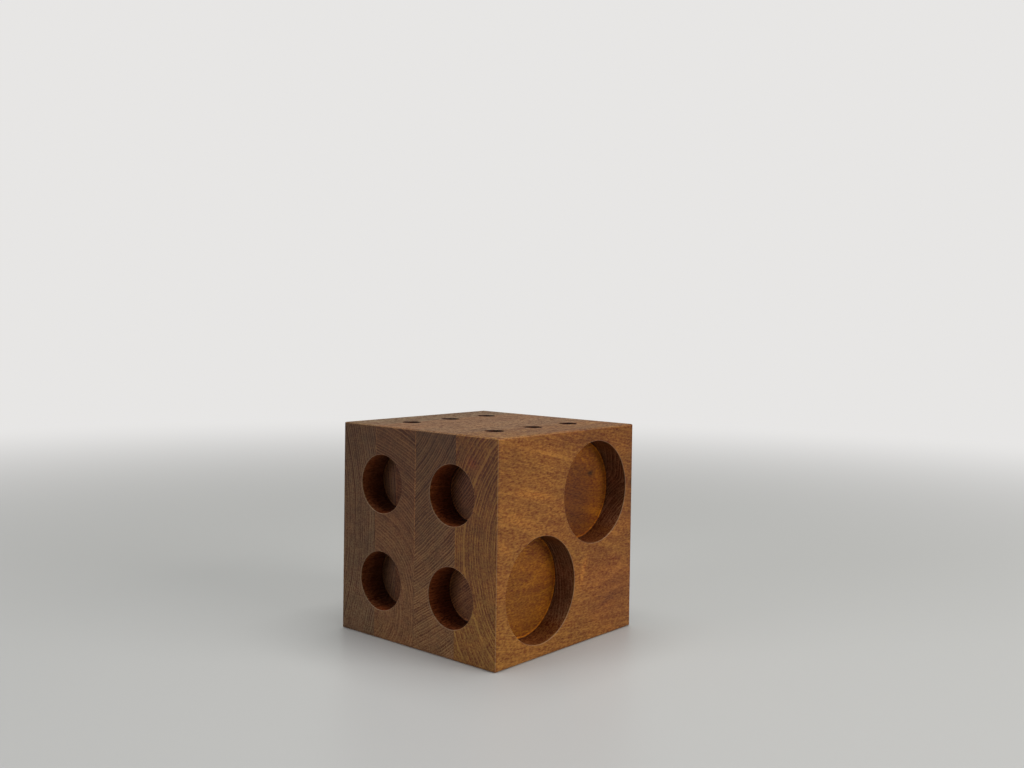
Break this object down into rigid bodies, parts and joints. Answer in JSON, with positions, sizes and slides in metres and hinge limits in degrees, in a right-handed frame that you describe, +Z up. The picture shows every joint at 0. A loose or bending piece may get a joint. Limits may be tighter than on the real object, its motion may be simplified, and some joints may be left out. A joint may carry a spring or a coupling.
{
  "type": "wooden die",
  "caption": "Large wooden die glued up from boards, with flat-bottomed pips bored to a different size on each face, wide enough to seat candles.",
  "frame": {"origin": "middle of the underside, on the surface that the die stands on", "axes": "+Z up through the face with six pips; -Y out of the front face with four pips, which is end grain; +X out of the right face with two pips; the boards' grain runs along Y"},
  "size_m": [0.145, 0.145, 0.145],
  "materials": {
    "left_board_wood": "oiled, satin",
    "mid_left_board_wood": "oiled, satin",
    "mid_right_board_wood": "oiled, satin",
    "right_board_wood": "oiled, satin"
  },
  "bodies": {
    "root": {"left_board": "left_board_wood", "mid_left_board": "mid_left_board_wood", "mid_right_board": "mid_right_board_wood", "right_board": "right_board_wood"}
  },
  "joints": []
}
